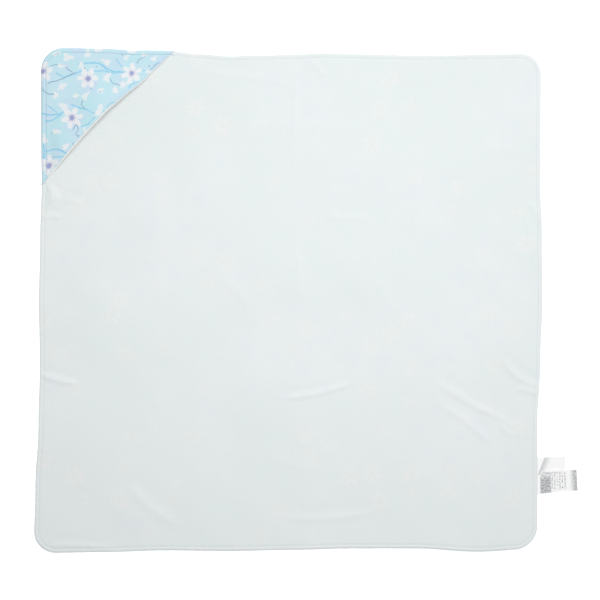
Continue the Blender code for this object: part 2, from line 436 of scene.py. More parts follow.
def vectors(operation, *values, **named):
    """The result of a sum on places: a place, or a number where the sum gives one."""
    made = new_node("ShaderNodeVectorMath", *values, setup={"operation": operation}, **named)
    return made.outputs["Value" if operation in ("LENGTH", "DISTANCE", "DOT_PRODUCT") else "Vector"]


def turned_place(offset, angle):
    return new_node("ShaderNodeVectorRotate", setup={"rotation_type": "Z_AXIS"}, Vector=offset,
                    Angle=angle).outputs[0]


def blended(share, first, second):
    """A colour between two others."""
    made = new_node("ShaderNodeMix", share, setup={"data_type": "RGBA"})
    for socket, colour in ((made.inputs[6], first), (made.inputs[7], second)):
        feed(socket, (*colour, 1) if isinstance(colour, tuple) else colour)
    return made.outputs[2]


def spread(value, low, high, to_low=0.0, to_high=1.0):
    """A value's range stretched onto another."""
    return new_node("ShaderNodeMapRange", value, low, high, to_low, to_high).outputs[0]


def noise_at(place, scale, detail=2.0, output=0):
    made = new_node("ShaderNodeTexNoise", Vector=place, Scale=scale, Detail=detail)
    return made.outputs[output]


def ribs(place, direction, scale, **more):
    """Even ridges across one direction."""
    return new_node("ShaderNodeTexWave", setup={"bands_direction": direction}, Vector=place,
                    Scale=scale, **more).outputs["Fac"]


def new_textile(name, roughness, sheen, specular=0.2):
    """A textile, and the output that gives the flat cloth's own places, in metres."""
    made = bpy.data.materials.new(name)
    made.use_nodes = True
    shader = made.node_tree.nodes["Principled BSDF"]
    shader.inputs["Roughness"].default_value = roughness
    shader.inputs["Sheen Weight"].default_value = sheen
    shader.inputs["Sheen Roughness"].default_value = 0.5
    shader.inputs["Specular IOR Level"].default_value = specular
    places = made.node_tree.nodes.new("ShaderNodeUVMap")
    places.uv_map = "cloth"
    return made, places.outputs[0]


def give_surface(colour, height, distance, strength=1.0):
    """Gives a textile its colour and the small relief of its threads."""
    shader = colour.id_data.nodes["Principled BSDF"]
    bump = new_node("ShaderNodeBump", Height=height, Distance=distance, Strength=strength)
    feed(shader.inputs["Normal"], bump.outputs[0])
    feed(shader.inputs["Base Color"], colour)


def around(offset):
    """The angle and the distance of a place from a middle."""
    axes = new_node("ShaderNodeSeparateXYZ", offset).outputs
    return sums("ARCTAN2", axes[1], axes[0]), vectors("LENGTH", offset)


def flower(offset, size, petals, slender):
    """Masks of one flower's petals and heart, from the way and distance to its middle."""
    angle, away = around(offset)
    folded = sums("PINGPONG", angle, math.pi / petals)
    along = product(away, sums("COSINE", folded))
    aside = product(away, sums("SINE", folded))
    reach = sums("MULTIPLY_ADD", along, 1 / (0.40 * size), -0.61 / 0.40)
    width = product(aside, 1 / (slender * size))
    blunt = sums("POWER", sums("ABSOLUTE", reach), 2.6)
    oval = sums("ADD", blunt, product(width, width))
    petal = spread(oval, 0.75, 1.15, 1.0, 0.0)
    heart = spread(away, 0.17 * size, 0.27 * size, 1.0, 0.0)
    spokes = spread(sums("COSINE", product(angle, 11.0)), 0.0, 0.6)
    stamens = product(spokes, spread(away, 0.34 * size, 0.44 * size, 1.0, 0.0))
    return petal, heart, stamens


def scattered(place, scale, size, petals, slender):
    """Flowers of one size, strewn over the cloth and turned every way."""
    cells = new_node("ShaderNodeTexVoronoi", setup={"voronoi_dimensions": "2D"}, Vector=place,
                     Scale=scale, Randomness=0.75)
    chance = new_node("ShaderNodeSeparateColor", cells.outputs["Color"]).outputs[0]
    offset = vectors("SUBTRACT", place, cells.outputs["Position"])
    offset = turned_place(offset, product(chance, 6.28))
    return flower(offset, size, petals, slender)


FLOWERS = (17.0, 0.0165, 6, 0.25)      # of the print: scale of the strewing, size, petals, slenderness
TERRY_WHITE = (0.765, 0.815, 0.812)
TERRY_COOL = (0.785, 0.822, 0.832)
TERRY_OVER_FLOWER = (0.806, 0.826, 0.812)
TERRY_PATCH = (0.752, 0.812, 0.822)
# Painted shade: the darker colour down between the loops.
TERRY_LOOP_SHADE = (0.56, 0.62, 0.63)        # down between the loops


def terry():
    """Short cotton loops in rows, with the print behind showing through very faintly, and painted shade down
    between the loops.
    """
    made, place = new_textile("white_terry", 0.95, 0.12)
    loops = new_node("ShaderNodeTexVoronoi", Vector=place, Scale=820.0).outputs["Distance"]
    rows = ribs(place, "Y", 190.0, Distortion=1.2, Detail=1.0)
    height = sums("ADD", product(loops, -1.0), product(rows, 0.35))
    cast = spread(noise_at(place, 5.0), 0.35, 0.65)
    base = blended(cast, TERRY_WHITE, TERRY_COOL)
    petal, _, _ = scattered(place, *FLOWERS)
    seen = spread(noise_at(place, 9.0), 0.40, 0.62, 0.0, 0.9)
    base = blended(product(petal, seen), base, TERRY_OVER_FLOWER)
    patch = spread(noise_at(place, 38.0, 3.0), 0.52, 0.72, 0.0, 0.5)
    base = blended(patch, base, TERRY_PATCH)
    # Painted shade, darkest down between the loops.
    shade = spread(loops, 0.0, 0.9, 0.0, 0.08)
    give_surface(blended(shade, base, TERRY_LOOP_SHADE), height, 0.00025, 0.5)
    return made


flat_spots = np.stack([flat_x.ravel(), flat_y.ravel()], -1)


def add_cloth(name, upper, lower, material, node):
    """One face of the towel, as its middle and its three folding corners."""
    up = lambda x, y: laid(x, y, upper(x, y))
    down = lambda x, y: laid(x, y, lower(x, y))
    for where, faces in PANELS.items():
        piece = add_shell(f"{name}_{where}", faces, flat_x, flat_y, up, down, flat_spots, on_rim, material)
        fold_with(piece, where)
        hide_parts(f"{node}_{where}")


add_cloth("white_terry", white_face, white_back, terry(), "white_cloth")

# --- Printed outer cloth ---
# The face that the towel lies on: smooth cotton of the same size, printed all over with white
# flowers on pale blue. It meets the white cloth at the turned edge.
GROUND_AQUA = (0.54, 0.80, 0.865)
GROUND_SKY = (0.60, 0.79, 0.885)
GROUND_LILAC = (0.60, 0.745, 0.885)
PETAL = (0.83, 0.86, 0.88)
HEART = (0.36, 0.40, 0.66)
STAMEN = (0.60, 0.42, 0.62)
TWIG_BLUE = (0.33, 0.66, 0.85)
TWIG_SLATE = (0.29, 0.42, 0.58)


def printed_back(x, y):
    distance = edge_distance(x, y)
    low = RIM_HEIGHT * (1 - rolled(distance, ROLL))
    return lie(x, y) + low + pulled(distance, 0.9 * GROOVE, GROOVE_WIDTH)


def printed_face(x, y):
    return lie(x, y) + RIM_HEIGHT - PARTING / 2 * smooth(edge_distance(x, y) / 0.003)


def print_ground(place):
    """The washed pale blue that the flowers are printed on."""
    wash = spread(noise_at(place, 16.0, 2.0), 0.38, 0.62)
    tint = blended(wash, GROUND_AQUA, GROUND_SKY)
    cool = spread(noise_at(place, 27.0, 1.0), 0.50, 0.66)
    return blended(cool, tint, GROUND_LILAC)


def give_weave(place, colour):
    """Finishes a printed cotton: its colour over a fine plain weave, 0.5 mm a thread."""
    weave = sums("ADD", ribs(place, "X", 620.0), ribs(place, "Y", 620.0))
    slub = noise_at(place, 260.0)
    give_surface(colour, sums("ADD", weave, slub), 0.00012, 0.6)


def with_flower(colour, petal, heart, stamens):
    """Prints a flower over a colour."""
    colour = blended(petal, colour, PETAL)
    colour = blended(product(stamens, 0.7), colour, STAMEN)
    return blended(heart, colour, HEART)


def vein(place, scale, level, width):
    """Wandering lines, where a slow noise crosses one level."""
    drift = noise_at(place, scale, 1.0)
    gap = sums("ABSOLUTE", sums("SUBTRACT", drift, level))
    return spread(gap, width, width * 1.6, 1.0, 0.0)


def printed_cotton():
    """The repeat of the print over the whole outer face."""
    made, place = new_textile("printed_cotton", 0.85, 0.05)
    colour = print_ground(place)
    breaks = spread(noise_at(place, 31.0, 1.0), 0.44, 0.50)
    blue = product(vein(place, 9.0, 0.47, 0.0085), breaks)
    colour = blended(blue, colour, TWIG_BLUE)
    slate = product(vein(place, 15.0, 0.56, 0.005), breaks)
    colour = blended(slate, colour, TWIG_SLATE)
    bud, _, _ = scattered(place, 46.0, 0.0068, 3, 0.42)
    colour = blended(bud, colour, PETAL)
    give_weave(place, with_flower(colour, *scattered(place, *FLOWERS)))
    return made


add_cloth("printed_cotton", printed_face, printed_back, printed_cotton(), "printed_cloth")

# --- Seam and edge stitching ---
# Polyester thread. A hidden seam 3 mm in joins the two cloths, and a row of 3 mm stitches holds
# the turned edge flat all round, with its bobbin thread on the printed face.
SEAM_INSET = 0.003
STITCH_PITCH = 0.0042
STITCH_LENGTH = 0.0032
STITCH_RADIUS = 0.00032
STITCH_SIDES = 6
SEAM_RADIUS = 0.00008
SEAM_LIFT = 0.00005
HOOD_LEG = 0.217
BLUE_BEYOND = 0.0035       # how far past the hood's two legs the blue stitches go on
# Rings along one stitch: share of its length, share of its thickness, and rise in radii.
STITCH_RINGS = ((0.0, 0.25, -1.3), (0.12, 0.8, -0.5), (0.5, 1.0, 0.0), (0.88, 0.8, -0.5), (1.0, 0.25, -1.3))


def thread_material(name, colour):
    """Spun thread: a fine twist along each stitch with painted shade in its low parts, and a soft shine."""
    made, place = new_textile(name, 0.55, 0.2, specular=0.5)
    twist = ribs(place, "DIAGONAL", 900.0)
    # Painted shade: the thread is darker where its twist lies low.
    dark = tuple(0.8 * part for part in colour)
    give_surface(blended(twist, dark, colour), twist, 0.0001)
    return made


def edge_line(inset):
    """Places round the whole towel, this far in, from the middle of the left edge."""
    core, radius = HALF - CORNER_RADIUS, CORNER_RADIUS - inset
    turn = np.linspace(0, math.pi / 2, 40)
    places = [(-HALF + inset, 0.0)]
    for sx, sy, start in ((-1, 1, math.pi), (1, 1, math.pi / 2), (1, -1, 0), (-1, -1, -math.pi / 2)):
        angle = start - turn
        places += list(zip(sx * core + radius * np.cos(angle), sy * core + radius * np.sin(angle)))
    return np.array(places + places[:1])


def run_along(x, y):
    """The distance gone along a line at each of its places."""
    return np.concatenate([[0], np.cumsum(np.hypot(np.diff(x), np.diff(y)))])


def stitch_ends(places):
    """The flat places of each stitch's start and end along a line."""
    gone = run_along(*places.T)
    starts = np.arange(0.0, gone[-1] - STITCH_LENGTH, gone[-1] / round(gone[-1] / STITCH_PITCH))
    read = lambda at: np.stack([np.interp(at, gone, values) for values in places.T], -1)
    return read(starts), read(starts + STITCH_LENGTH)


def tube_faces(rings, sides):
    """The faces of a tube through rings of points, with its two ends."""
    faces = []
    for ring in range(rings - 1):
        for side in range(sides):
            a, b = ring * sides + side, ring * sides + (side + 1) % sides
            faces.append([a, b, b + sides, a + sides])
    faces.append(list(range(sides))[::-1])
    faces.append(list(range((rings - 1) * sides, rings * sides)))
    return faces


def add_stitches(name, rows, radius, material):
    """Separate stitches as one mesh: each a short cord that dips into the cloth at its ends."""
    starts = np.concatenate([row[0] for row in rows])
    ends = np.concatenate([row[1] for row in rows])
    ups = np.concatenate([np.tile(row[2], (len(row[0]), 1)) for row in rows])
    ahead = ends - starts
    aside = np.cross(ups, ahead)
    aside /= np.linalg.norm(aside, axis=1, keepdims=True)
    points, spots = [], []
    for share, girth, rise in STITCH_RINGS:
        centre = starts + ahead * share + ups * radius * rise
        for side in range(STITCH_SIDES):
            angle = 2 * math.pi * side / STITCH_SIDES
            reach = aside * math.cos(angle) + ups * math.sin(angle)
            points.append(centre + reach * radius * girth)
            spots.append((share * 0.003, side * 0.0004))
    each = len(spots)
    pattern = tube_faces(len(STITCH_RINGS), STITCH_SIDES)
    faces = [[n + each * count for n in face] for count in range(len(starts)) for face in pattern]
    spots = np.tile(spots, (len(starts), 1))
    return add_mesh(name, np.stack(points, 1).reshape(-1, 3), faces, None, spots, material)


WHITE_THREAD = thread_material("white_thread", (0.78, 0.83, 0.85))
UP, DOWN = (0.0, 0.0, 1.0), (0.0, 0.0, -1.0)
EDGE_ROW = stitch_ends(edge_line(STITCH_INSET))
SEAM_ROW = stitch_ends(edge_line(SEAM_INSET))


def panel_of(place):
    """The panel that a flat place is on."""
    for where, corner in CORNERS.items():
        if 2 * HALF - corner[0] * place[0] - corner[1] * place[1] < FOLD_LEG:
            return where
    return "middle"


def sewn(row, test, thread, up=UP):
    """Those stitches of a row whose middle passes a test, where their thread lies."""
    starts, ends = row
    kept = np.array([test(place) for place in (starts + ends) / 2])
    return thread(*starts[kept].T), thread(*ends[kept].T), up


def under_hood(place):
    return (place[0] + HALF) + (HALF - place[1]) < HOOD_LEG + BLUE_BEYOND


face_thread = lambda x, y: laid(x, y, white_face(x, y) + 0.5 * STITCH_RADIUS)
back_thread = lambda x, y: laid(x, y, printed_back(x, y) - 0.3 * STITCH_RADIUS)
seam_thread = lambda x, y: laid(x, y, lie(x, y) + RIM_HEIGHT + SEAM_LIFT)
for where in PANELS:
    here = lambda place: panel_of(place) == where
    seam = add_stitches(f"seam_stitches_{where}", [sewn(SEAM_ROW, here, seam_thread)], SEAM_RADIUS,
                        WHITE_THREAD)
    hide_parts(f"seam_thread_{where}")
    pieces = [seam]
    if where != "middle":
        rows = [sewn(EDGE_ROW, here, face_thread), sewn(EDGE_ROW, here, back_thread, DOWN)]
        pieces.append(add_stitches(f"edge_stitches_{where}", rows, STITCH_RADIUS, WHITE_THREAD))
        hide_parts(f"edge_stitching_{where}")
    for piece in pieces:
        fold_with(piece, where)

for edge, side in (("left_edge", -1), ("top_edge", 1)):
    here = lambda place: panel_of(place) == "middle" and (place[0] + place[1]) * side > 0
    shown = lambda place: here(place) and not under_hood(place)
    rows = [sewn(EDGE_ROW, shown, face_thread), sewn(EDGE_ROW, here, back_thread, DOWN)]
    piece = add_stitches(f"edge_stitches_{edge}", rows, STITCH_RADIUS, WHITE_THREAD)
    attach(piece, "middle")
    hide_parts(f"edge_stitching_{edge}")

# --- Hood ---
# A triangle of the printed cotton over one corner, lined with thin white cotton. Two sides are
# sewn into the edge seams and stand on top of the white cloth. The third side, the mouth, is
# slack: it stands open a little and is faced with a folded cream strip.
# Places on the hood are told by two distances: in from the left edge, and down from the top edge.
MOUTH_SAG = 0.010
MOUTH_DRIFT = (0, 0, 0, 0, 0, 2, 3.5, 1, -2)    # from the left end, outwards, in millimetres
HOOD_HEIGHT = 0.0060
HOOD_OVERHANG = 0.0012      # how far the hood's cloth wraps over the edge of the white one
HOOD_ROLL = 0.005
HOOD_RIM = 0.0002           # how far the hood's sewn rim stands over the towel's, and how much less
HOOD_RIM_DROP = 0.0007      # away from the mouth's two ends, where it wraps over
HOOD_GROOVE = 0.0009
HOOD_GROOVE_WIDTH = 0.0013
HOOD_LIFT = 0.0105          # how far the slack mouth stands up
BULGE = 0.0042              # the fullness near the left end of the mouth, with its place and reach
BULGE_LEFT, BULGE_DOWN, BULGE_REACH = 0.040, 0.160, 0.036
HOOD_RIPPLE = 0.0005
HOOD_CLOTH = 0.0009
LAYER_GAP = 0.0001          # between the printed cloth and the lining
LINING_INSET = 0.0012       # how far the lining stops short of the sewn edges
LINING_STOP = 0.0046        # and of the mouth
MOUTH_EASE = 0.03           # how far in from the mouth the sewn edge thins and stops wrapping
MOUTH_TURN = 0.0012         # the rounding of the mouth edge
MOUTH_STITCH_RADIUS = 0.00015
MOUTH_STITCH_LIFT = 0.0001
MOUTH_STITCH_INSET = 0.0021
MOUTH_STITCH_START = 0.010
FACING_WIDTH = 0.005
FACING_HEIGHT = 0.0018
FACING_SHOWING = 0.0023     # how far the facing stands out beyond the mouth edge
FACING_TUCK = 0.0010        # and how much less of it shows towards its right end
FACING_SIDES = 12
HOOD_STEPS = 56


def mouth_sum(left, down):
    """The sum of the two distances at the mouth, on the line out from the corner through a place."""
    half = HOOD_LEG / math.sqrt(2)
    along = (left - down) / math.sqrt(2) / half
    bow = MOUTH_SAG * (1 - np.clip(along, -1, 1) ** 2) - eased(MOUTH_DRIFT, 0.5 + 0.5 * along) / 1000
    return HOOD_LEG - math.sqrt(2) * bow


def mouth_distance(left, down):
    """How far in from the mouth a place is."""
    return (mouth_sum(left, down) - left - down) / math.sqrt(2)


def mouth_end(inset, flip):
    """How far down the mouth meets the line at this inset, or how far along for the other half."""
    far = mouth_sum(0.1, 0.1) - inset
    for _ in range(12):
        far = (mouth_sum(far, inset) if flip else mouth_sum(inset, far)) - inset
    return far


def hood_edge(left, down):
    """How far in from the two sewn edges a place is, round the corner too."""
    round_off = CORNER_RADIUS - np.hypot(CORNER_RADIUS - left, CORNER_RADIUS - down)
    return np.where((left < CORNER_RADIUS) & (down < CORNER_RADIUS), round_off, np.minimum(left, down))


def hood_surface(left, down):
    """The height of the hood's printed face before its mouth edge is turned in."""
    inset = hood_edge(left, down)
    low = RIM_HEIGHT + HOOD_RIM - HOOD_RIM_DROP * smooth(mouth_distance(left, down) / MOUTH_EASE)
    height = low + (HOOD_HEIGHT - low) * rolled(inset, HOOD_ROLL)
    height = height - pulled(inset, HOOD_GROOVE, HOOD_GROOVE_WIDTH)
    slack = smooth((left - 0.006) / 0.1) * smooth((down - 0.006) / 0.1)
    bulge = np.exp(-((left - BULGE_LEFT) ** 2 + (down - BULGE_DOWN) ** 2) / BULGE_REACH**2)
    height = height + HOOD_LIFT * slack + BULGE * bulge * smooth((left - 0.005) / 0.025)
    soft = np.sin(left * 71 + down * 43) * np.sin(down * 59 - left * 37 + 1)
    height = height + HOOD_RIPPLE * soft * smooth((inset - 0.004) / 0.02)
    return height + lie(left - HALF, HALF - down)


def on_hood(left, down, height):
    """A place on the laid hood, with its sewn edges wrapped a little over those of the towel."""
    p, q = CORNER_RADIUS - left, CORNER_RADIUS - down
    far = np.maximum(np.hypot(p, q), 1e-9)
    in_corner = (p > 0) & (q > 0)
    wrap = HOOD_OVERHANG * smooth(1 - hood_edge(left, down) / 0.005)
    wrap = wrap * smooth(mouth_distance(left, down) / MOUTH_EASE)
    out_left = np.where(in_corner, p / far, left < down)
    out_up = np.where(in_corner, q / far, left >= down)
    return laid(left - wrap * out_left - HALF, HALF - down + wrap * out_up, height)


def hood_face(drop):
    """A face of one of the hood's layers, from how far it lies below the full printed face."""
    return lambda left, down: on_hood(left, down, hood_surface(left, down) - drop(left, down))


printed_top = hood_face(lambda left, down: HOOD_CLOTH * (1 - rolled(mouth_distance(left, down), MOUTH_TURN)))
printed_under = hood_face(lambda left, down: HOOD_CLOTH * smooth(hood_edge(left, down) / 0.0015))
lining_top = hood_face(lambda left, down: HOOD_CLOTH + LAYER_GAP)
lining_under = hood_face(lambda left, down: 2 * HOOD_CLOTH + LAYER_GAP)


def hood_lattice(insets, stop, flip):
    """Rows parallel to one sewn edge, each from the hood's middle line to stop short of the mouth."""
    lefts, downs = [], []
    for inset in insets:
        arc = max(CORNER_RADIUS - inset, 0) * math.pi / 4
        start = max(CORNER_RADIUS, inset)
        straight = max(mouth_end(inset, flip) - stop * math.sqrt(2) - start, 0)
        ease = min(1.0, 0.02 / max(arc + straight, 1e-9))
        near = np.array([0.0028, 0.0014, 0.0007, 0.0003, 0.0]) * ease
        even = np.linspace(0, arc + straight - 0.0055 * ease, HOOD_STEPS)
        gone = np.concatenate([even, arc + straight - near])
        angle = math.pi / 4 * (1 - np.minimum(gone / arc, 1)) if arc > 0 else np.zeros(len(gone))
        left = start - (start - inset) * np.cos(angle)
        down = start - (start - inset) * np.sin(angle) + np.maximum(gone - arc, 0)
        lefts.append(down if flip else left)
        downs.append(left if flip else down)
    return np.array(lefts), np.array(downs)


def lattice_faces(shape, mirrored):
    """The faces of a lattice of rows."""
    starts = [i * shape[1] + j for i in range(shape[0] - 1) for j in range(shape[1] - 1)]
    faces = [[n, n + 1, n + shape[1] + 1, n + shape[1]] for n in starts]
    return [face[::-1] for face in faces] if mirrored else faces


def hood_insets(first, last):
    """Where the rows lie: close together over the rolled and stitched edge, then even."""
    near = [first] + [one / 1000 for one in (0.3, 0.8, 1.4, 2.2, 3.2, 4.3, 5.3, 6, 6.5, 7, 7.7, 9, 11)]
    near = [one for one in near if one >= first]
    return np.concatenate([near, np.linspace(0.0145, last, 22)])


def hood_middle(stop):
    return (mouth_sum(0.1, 0.1) - stop * math.sqrt(2)) / 2


def lift_with_hood(piece):
    """Only applies the piece's transform to its mesh."""
    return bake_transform(piece)


def motif_place(place, left, down, turn=0):
    """The way from a motif's middle, with its place in millimetres and its turn in degrees."""
    offset = vectors("SUBTRACT", place, (left / 1000, down / 1000, 0))
    return turned_place(offset, math.radians(turn)) if turn else offset


def nudged(drawn, place, scale, reach):
    """The places of a drawing, moved a little to and fro so that its outlines are unsteady."""
    noise = noise_at(place, scale, 1.0, "Color")
    moved = vectors("MULTIPLY_ADD", noise, (reach, reach, 0), drawn)
    return vectors("SUBTRACT", moved, (reach / 2, reach / 2, 0))


def blossom(offset, size, lobes):
    """A bud or small side-on blossom: a few soft lobes, longer one way than the other."""
    angle, away = around(vectors("MULTIPLY", offset, (0.85, 1.3, 0)))
    wave = sums("COSINE", product(angle, lobes))
    edge = sums("MULTIPLY_ADD", wave, 0.19 * size, 0.81 * size)
    return spread(sums("SUBTRACT", edge, away), -0.0008, 0.0008)


def twig(place, points, width):
    """A branch through these places, in millimetres."""
    nearest = None
    for first, last in zip(points[:-1], points[1:]):
        run = Vector((last[0] - first[0], last[1] - first[1], 0)) / 1000
        offset = motif_place(place, *first)
        ahead = vectors("DOT_PRODUCT", offset, run / run.length_squared)
        share = new_node("ShaderNodeClamp", ahead).outputs[0]
        gap = vectors("DISTANCE", offset, vectors("SCALE", run, Scale=share))
        nearest = gap if nearest is None else sums("MINIMUM", nearest, gap)
    return spread(nearest, width / 2000, width / 2000 + 0.0005, 1.0, 0.0)


# The print where it shows on the hood. Every place and size is in millimetres, and every turn in
# degrees.
BLUE_TWIGS = (
    (((60, 24), (76, 21), (93, 22), (103, 29), (116, 36), (131, 37)), 2.6),
    (((25, 38), (38, 45), (50, 41), (61, 36)), 1.6),
    (((61, 36), (70, 34), (92, 35), (104, 34), (116, 39)), 1.4),
    (((0, 101), (14, 104), (26, 104), (36, 101), (42, 96)), 2.2),
    (((8, 115), (18, 113), (26, 108), (36, 101)), 1.8),
    (((50, 88), (60, 92), (70, 95), (81, 99), (91, 105)), 1.5),
    (((66, 124), (76, 119), (84, 111), (90, 105)), 1.3),
    (((8, 163), (24, 159), (34, 161), (43, 166)), 2.2),
    (((12, 172), (24, 171), (36, 171)), 1.6),
    (((4, 150), (5, 163), (4, 176)), 2.2),
    (((107, 92), (112, 86), (124, 84)), 1.1),
    (((141, 62), (145, 55), (156, 52)), 1.5),
    (((161, 35), (169, 34)), 1.6),
    (((10, 88), (17, 95), (26, 101)), 1.0),
    (((120, 15), (128, 25), (134, 34)), 1.0),
)
SLATE_TWIGS = (
    (((10, 53), (22, 51), (34, 46), (45, 41), (54, 36)), 1.1),
    (((36, 25), (44, 31), (50, 35)), 0.8),
    (((2, 60), (5, 68), (11, 71), (19, 71)), 0.6),
    (((68, 82), (64, 88), (70, 94)), 0.7),
    (((110, 46), (115, 54), (126, 55)), 0.7),
    (((154, 22), (157, 15), (162, 12)), 0.8),
    (((52, 128), (56, 122), (61, 128), (56, 136), (62, 139)), 0.7),
    (((174, 32), (180, 28), (190, 20)), 0.6),
    (((14, 26), (26, 24), (38, 25)), 0.6),
    (((52, 150), (56, 156)), 0.8),
)
BUDS = (
    (24, 6, 6, 2, 20), (43, 12, 8, 3, 0), (75, 6, 7, 3, 90), (92, 0, 6, 2, 10), (145, 3, 6, 2, 0),
    (136, 12, 5, 3, 40), (165, 8, 5, 3, 0), (181, 14, 6, 3, 60), (104, 20, 7, 3, 150),
    (64, 26, 6, 3, 90), (32, 26, 6, 3, 0), (33, 60, 7, 4, 30), (23, 73, 6, 3, 120), (56, 74, 6, 4, 0),
    (72, 74, 8, 3, 45), (96, 66, 6, 4, 20), (119, 66, 7, 3, 90), (132, 56, 7, 3, 10),
    (105, 45, 8, 3, 60), (36, 91, 8, 3, 150), (95, 97, 9, 2, 70), (25, 131, 7, 3, 0),
    (6, 143, 7, 3, 100), (40, 155, 7, 3, 30), (71, 130, 5, 2, 90), (90, 102, 5, 2, 60),
    (171, 36, 5, 3, 0), (22, 194, 5, 3, 0),
)
DAISIES = ((2.5, 34.5, 17, 8), (75, 46, 17, 0), (144.5, 38, 17, 20), (50.5, 109.5, 18, 12),
           (12.5, 185, 17, 25))
SEEDS = ((26, 6), (129, 8), (165, 10), (96, 68), (17, 134), (81, 63), (60, 139), (126, 56), (19, 71),
         (173, 27), (88, 28), (70, 30))


def hood_print():
    """The same printed cotton, with each flower where it falls on the hood."""
    made, place = new_textile("hood_print", 0.85, 0.05)
    wavering = nudged(place, place, 70.0, 0.006)
    ragged = nudged(wavering, place, 240.0, 0.005)
    colour = print_ground(place)
    for twigs, tint in ((BLUE_TWIGS, TWIG_BLUE), (SLATE_TWIGS, TWIG_SLATE)):
        for points, width in twigs:
            colour = blended(twig(wavering, points, width), colour, tint)
    for left, down, size, lobes, turn in BUDS:
        shape = blossom(motif_place(ragged, left, down, turn), size / 1000, lobes)
        colour = blended(product(shape, 0.9), colour, PETAL)
    for left, down, size, turn in DAISIES:
        offset = motif_place(wavering, left, down, turn)
        colour = with_flower(colour, *flower(offset, size / 1000, *FLOWERS[2:]))
    for left, down in SEEDS:
        away = vectors("LENGTH", motif_place(wavering, left, down))
        colour = blended(spread(away, 0.0008, 0.0015, 0.8, 0.0), colour, TWIG_SLATE)
    give_weave(place, colour)
    return made


def plain_cotton(name, colour, scale):
    """Thin plain-woven cotton of one colour, with painted shade along the low parts of its ribs."""
    made, place = new_textile(name, 0.9, 0.05)
    rib = ribs(place, "DIAGONAL", scale)
    # Painted shade: darker where the ribs lie low.
    rib_shade = tuple(0.9 * part for part in colour)
    give_surface(blended(rib, rib_shade, colour), rib, 0.0002, 0.5)
    return made


HOOD_PRINT = hood_print()
LINING_COTTON = plain_cotton("lining_cotton", (0.80, 0.82, 0.82), 500.0)
CREAM_RIB = plain_cotton("cream_rib", (0.88, 0.87, 0.83), 330.0)
PALE_THREAD = thread_material("pale_thread", (0.55, 0.75, 0.83))
# The hood's edge stitches: blue thread, painted darker than the thread itself so that it stands in for the
# shade of the needle holes and the stitched groove.
BLUE_THREAD_WITH_SHADE = thread_material("blue_thread_with_shade", (0.40, 0.62, 0.74))


def add_hood_layer(name, upper, lower, rim, stop, flip, material):
    """One layer of one half of the hood."""
    lefts, downs = hood_lattice(hood_insets(rim, hood_middle(stop)), stop, flip)
    joined = np.zeros(lefts.shape, bool)
    if stop == 0:
        joined[0, :] = joined[:, -1] = True
    places = on_hood(lefts.ravel(), downs.ravel(), np.zeros(lefts.size))[:, :2]
    spots = np.stack([places[:, 0] + HALF, HALF - places[:, 1]], -1)
    return add_shell(name, lattice_faces(lefts.shape, flip), lefts, downs, upper, lower, spots, joined,
                     material)


def mouth_line(steps, flip):
    """Places along half of the mouth, from its middle to the sewn edge."""
    insets = np.linspace(hood_middle(0), 0.0004, steps)
    ends = np.array([mouth_end(inset, flip) for inset in insets])
    return (ends, insets) if flip else (insets, ends)


def add_facing(name, flip):
    """The folded strip that hangs just below the mouth edge of the printed cloth."""
    left, down = mouth_line(120, flip)
    along = np.stack([np.gradient(left), np.gradient(down)], -1)
    along /= np.linalg.norm(along, axis=1, keepdims=True)
    away = np.stack([-along[:, 1], along[:, 0]], -1)
    away *= np.sign(away.sum(1, keepdims=True))
    middle = FACING_SHOWING - FACING_TUCK * smooth((left - 0.1) / 0.04) * flip - FACING_WIDTH / 2
    thin = smooth(np.minimum(left, down) / 0.006)
    height = hood_surface(left, down) - HOOD_CLOTH - LAYER_GAP / 2 - FACING_HEIGHT / 2
    points = []
    for side in range(FACING_SIDES):
        angle = 2 * math.pi * side / FACING_SIDES
        out = middle + FACING_WIDTH / 2 * np.cos(angle)
        rise = FACING_HEIGHT / 2 * math.sin(angle) * (0.35 + 0.65 * thin)
        points.append(on_hood(left + away[:, 0] * out, down + away[:, 1] * out, height + rise))
    points = np.stack(points, 1).reshape(-1, 3)
    faces = [face[::-1] if flip else face for face in tube_faces(len(left), FACING_SIDES)]
    girth = np.tile(np.arange(FACING_SIDES) * 0.0011, len(left))
    spots = np.stack([np.repeat(run_along(left, down), FACING_SIDES), girth], -1)
    return add_mesh(name, points, faces, None, spots, CREAM_RIB)


def hood_thread(lift):
    """The thread of stitches that lie so high on the hood's printed face."""
    return lambda x, y: printed_top(x + HALF, HALF - y) + (0, 0, lift)


def add_hood_half(side, flip):
    """One half of the hood, from its middle line to one sewn edge."""
    cloth = add_hood_layer(f"hood_print_{side}", printed_top, printed_under, 0.0, 0.0, flip,
                           HOOD_PRINT)
    lining = add_hood_layer(f"hood_lining_{side}", lining_top, lining_under, LINING_INSET, LINING_STOP,
                            flip, LINING_COTTON)
    facing_strip = add_facing(f"hood_facing_{side}", flip)
    mine = lambda place: (place[0] + place[1] > 0) == flip
    shown = lambda place: mine(place) and under_hood(place)
    rows = [sewn(EDGE_ROW, shown, hood_thread(0.5 * STITCH_RADIUS))]
    edge = add_stitches(f"hood_edge_stitches_{side}", rows, STITCH_RADIUS, BLUE_THREAD_WITH_SHADE)
    left, down = mouth_line(200, flip)
    keep = np.minimum(left, down) > MOUTH_STITCH_START
    line = np.stack([left - MOUTH_STITCH_INSET - HALF, HALF - down + MOUTH_STITCH_INSET], -1)[keep]
    rows = [sewn(stitch_ends(line), lambda place: True, hood_thread(MOUTH_STITCH_LIFT))]
    mouth = add_stitches(f"hood_mouth_stitches_{side}", rows, MOUTH_STITCH_RADIUS, PALE_THREAD)
    nodes = ("hood_cloth", "hood_lining", "hood_facing", "edge_stitching_hood", "mouth_stitching")
    slots = ("printed_cloth", "white_cloth", "facing", "thread", "thread")
    for piece, node, slot in zip((cloth, lining, facing_strip, edge, mouth), nodes, slots):
        lift_with_hood(piece)
        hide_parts(node)


add_hood_half("left", False)
add_hood_half("right", True)
